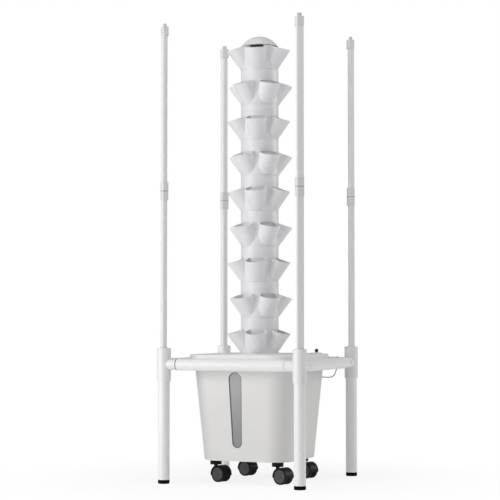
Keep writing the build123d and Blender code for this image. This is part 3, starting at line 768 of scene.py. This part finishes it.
wheel_nylon = moulded_plastic(
    "black_nylon_wheel", "#303334", "#3B3E3F", 0.55, 1.53, cloud_mm=12.0, grain_mm=1.6, relief_mm=0.08)
tyre_nylon = moulded_plastic(
    "black_nylon_tyre", "#0D0E0E", "#141515", 0.50, 1.53, cloud_mm=12.0, grain_mm=1.6, shine=0.2)
for name in corner_names:
    side, depth = caster_sides[name]
    hub = Vector((side * caster_place, depth * caster_place, wheel_radius)) + trail_way * caster_trail
    halves = []
    for hand in (1, -1):
        out = axle_way * hand
        along = Vector((0.0, 0.0, 1.0)).cross(out)
        turn = Matrix((along, Vector((0.0, 0.0, 1.0)), out)).transposed().to_4x4()
        halves.append(turned_mesh(wheel_profile, 96, Matrix.Translation(hub) @ turn))
    wheels = finished_piece(f"caster_wheel_pair_{name}", halves)
    paint(wheel_nylon, wheels)
    wheels.data.materials.append(tyre_nylon)
    for face in wheels.data.polygons:
        offset = face.center - hub
        reach = (offset - axle_way * offset.dot(axle_way)).length
        face.material_index = 1 if reach > tyre_start else 0
    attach(wheels, f"wheels_{name}")
    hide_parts(f"caster_wheels_{name}")

# %% [markdown]
# The floor is a pale sheet that fades to plain white before it ends, so no horizon shows behind the object.
# It is a matt white sheet, lit a little from below as a product table is, and it throws light up under the
# lid and the cups. Near the object enough of it shows to keep a soft shadow. Only rays from the eye, or
# through clear plastic, see the plain white that is mixed into it.

# %% Floor and background
floor_reach = 4.0
fade_start = 0.3
fade_end = 1.1
white_near = 0.80
table_glow = 0.08
floor_mesh = bmesh.new()
bmesh.ops.create_circle(floor_mesh, cap_ends=True, radius=floor_reach, segments=96)
floor_data = bpy.data.meshes.new("floor")
floor_mesh.to_mesh(floor_data)
floor_mesh.free()
floor = bpy.data.objects.new("floor", floor_data)
bpy.context.scene.collection.objects.link(floor)

pale_floor = blank_material("matt_white_sheet")
floor_place = add(pale_floor, "ShaderNodeTexCoord").outputs["Object"]
floor_distance = add(pale_floor, "ShaderNodeVectorMath", {0: floor_place}, operation="LENGTH")
floor_fade = add(pale_floor, "ShaderNodeMapRange", {
    "Value": floor_distance.outputs["Value"],
    "From Min": fade_start,
    "From Max": fade_end,
    "To Min": white_near,
    "To Max": 1.0,
}, interpolation_type="SMOOTHSTEP")
floor_rays = add(pale_floor, "ShaderNodeLightPath")
seen_floor = add(pale_floor, "ShaderNodeMath", {
    0: floor_rays.outputs["Is Camera Ray"],
    1: floor_rays.outputs["Is Transmission Ray"],
}, operation="MAXIMUM")
white_share = add(pale_floor, "ShaderNodeMath", {
    0: floor_fade.outputs["Result"],
    1: seen_floor.outputs["Value"],
}, operation="MULTIPLY")
matt_white = add(pale_floor, "ShaderNodeBsdfDiffuse", {"Color": linear("#FAFAFA")})
back_light = add(pale_floor, "ShaderNodeEmission", {"Color": linear("#FFFFFF"), "Strength": table_glow})
lit_sheet = add(pale_floor, "ShaderNodeAddShader", {
    0: matt_white.outputs["BSDF"],
    1: back_light.outputs["Emission"],
})
plain_white = add(pale_floor, "ShaderNodeEmission", {"Color": linear("#FFFFFF"), "Strength": 1.0})
floor_surface = add(pale_floor, "ShaderNodeMixShader", {
    0: white_share.outputs["Value"],
    1: lit_sheet.outputs["Shader"],
    2: plain_white.outputs["Emission"],
})
show_surface(pale_floor, floor_surface)
paint(pale_floor, floor)

# %% [markdown]
# The world is a soft even light, and white where the eye meets it. Four lamps shape the object: a wide
# softbox on the left at about the object's own height, which lights the undersides of the cups as much as
# the collars between them, a weaker one behind on the right that lifts the far side, a faint one overhead
# for the dome and the upper sides of the rails, and a small near one on the right above. That last one is
# closer to the tower than to the tank, so it lifts the shadow side of the cups and hardly the tank.

# %% World and lamps
room_glow = 0.29
room = bpy.data.worlds.new("studio")
room.use_nodes = True
room.node_tree.nodes.clear()
bpy.context.scene.world = room
room_rays = add(room, "ShaderNodeLightPath")
room_seen = add(room, "ShaderNodeMath", {
    0: room_rays.outputs["Is Camera Ray"],
    1: room_rays.outputs["Is Transmission Ray"],
}, operation="MAXIMUM")
room_light = add(room, "ShaderNodeBackground", {"Color": linear("#FFFFFF"), "Strength": room_glow})
room_white = add(room, "ShaderNodeBackground", {"Color": linear("#FFFFFF"), "Strength": 1.0})
room_mix = add(room, "ShaderNodeMixShader", {
    0: room_seen.outputs["Value"],
    1: room_light.outputs["Background"],
    2: room_white.outputs["Background"],
})
add(room, "ShaderNodeOutputWorld", {"Surface": room_mix.outputs["Shader"]})

lamp_target = Vector((0.0, 0.0, 0.8))


def softbox(name, turn_degrees, rise_degrees, distance, width, height, watts):
    """A rectangular lamp that faces the object."""
    data = bpy.data.lights.new(name, "AREA")
    data.shape = "RECTANGLE"
    data.size = width
    data.size_y = height
    data.energy = watts
    lamp = bpy.data.objects.new(name, data)
    turn = math.radians(turn_degrees)
    rise = math.radians(rise_degrees)
    back = Vector((math.sin(turn) * math.cos(rise), -math.cos(turn) * math.cos(rise), math.sin(rise)))
    lamp.location = lamp_target + back * distance
    lamp.rotation_mode = "QUATERNION"
    lamp.rotation_quaternion = (-back).to_track_quat("-Z", "Y")
    bpy.context.scene.collection.objects.link(lamp)
    print(name, "at", tuple(round(value, 2) for value in lamp.location))


softbox(
    "left_softbox", turn_degrees=-38.0, rise_degrees=4.0, distance=4.6, width=3.2, height=3.0, watts=124.0)
softbox(
    "right_softbox", turn_degrees=126.0, rise_degrees=14.0, distance=4.0, width=1.8, height=2.0, watts=40.0)
softbox(
    "fill_softbox", turn_degrees=58.0, rise_degrees=44.0, distance=2.5, width=1.4, height=1.4, watts=6.5)
softbox(
    "top_softbox", turn_degrees=-20.0, rise_degrees=76.0, distance=4.0, width=2.4, height=2.4, watts=46.0)
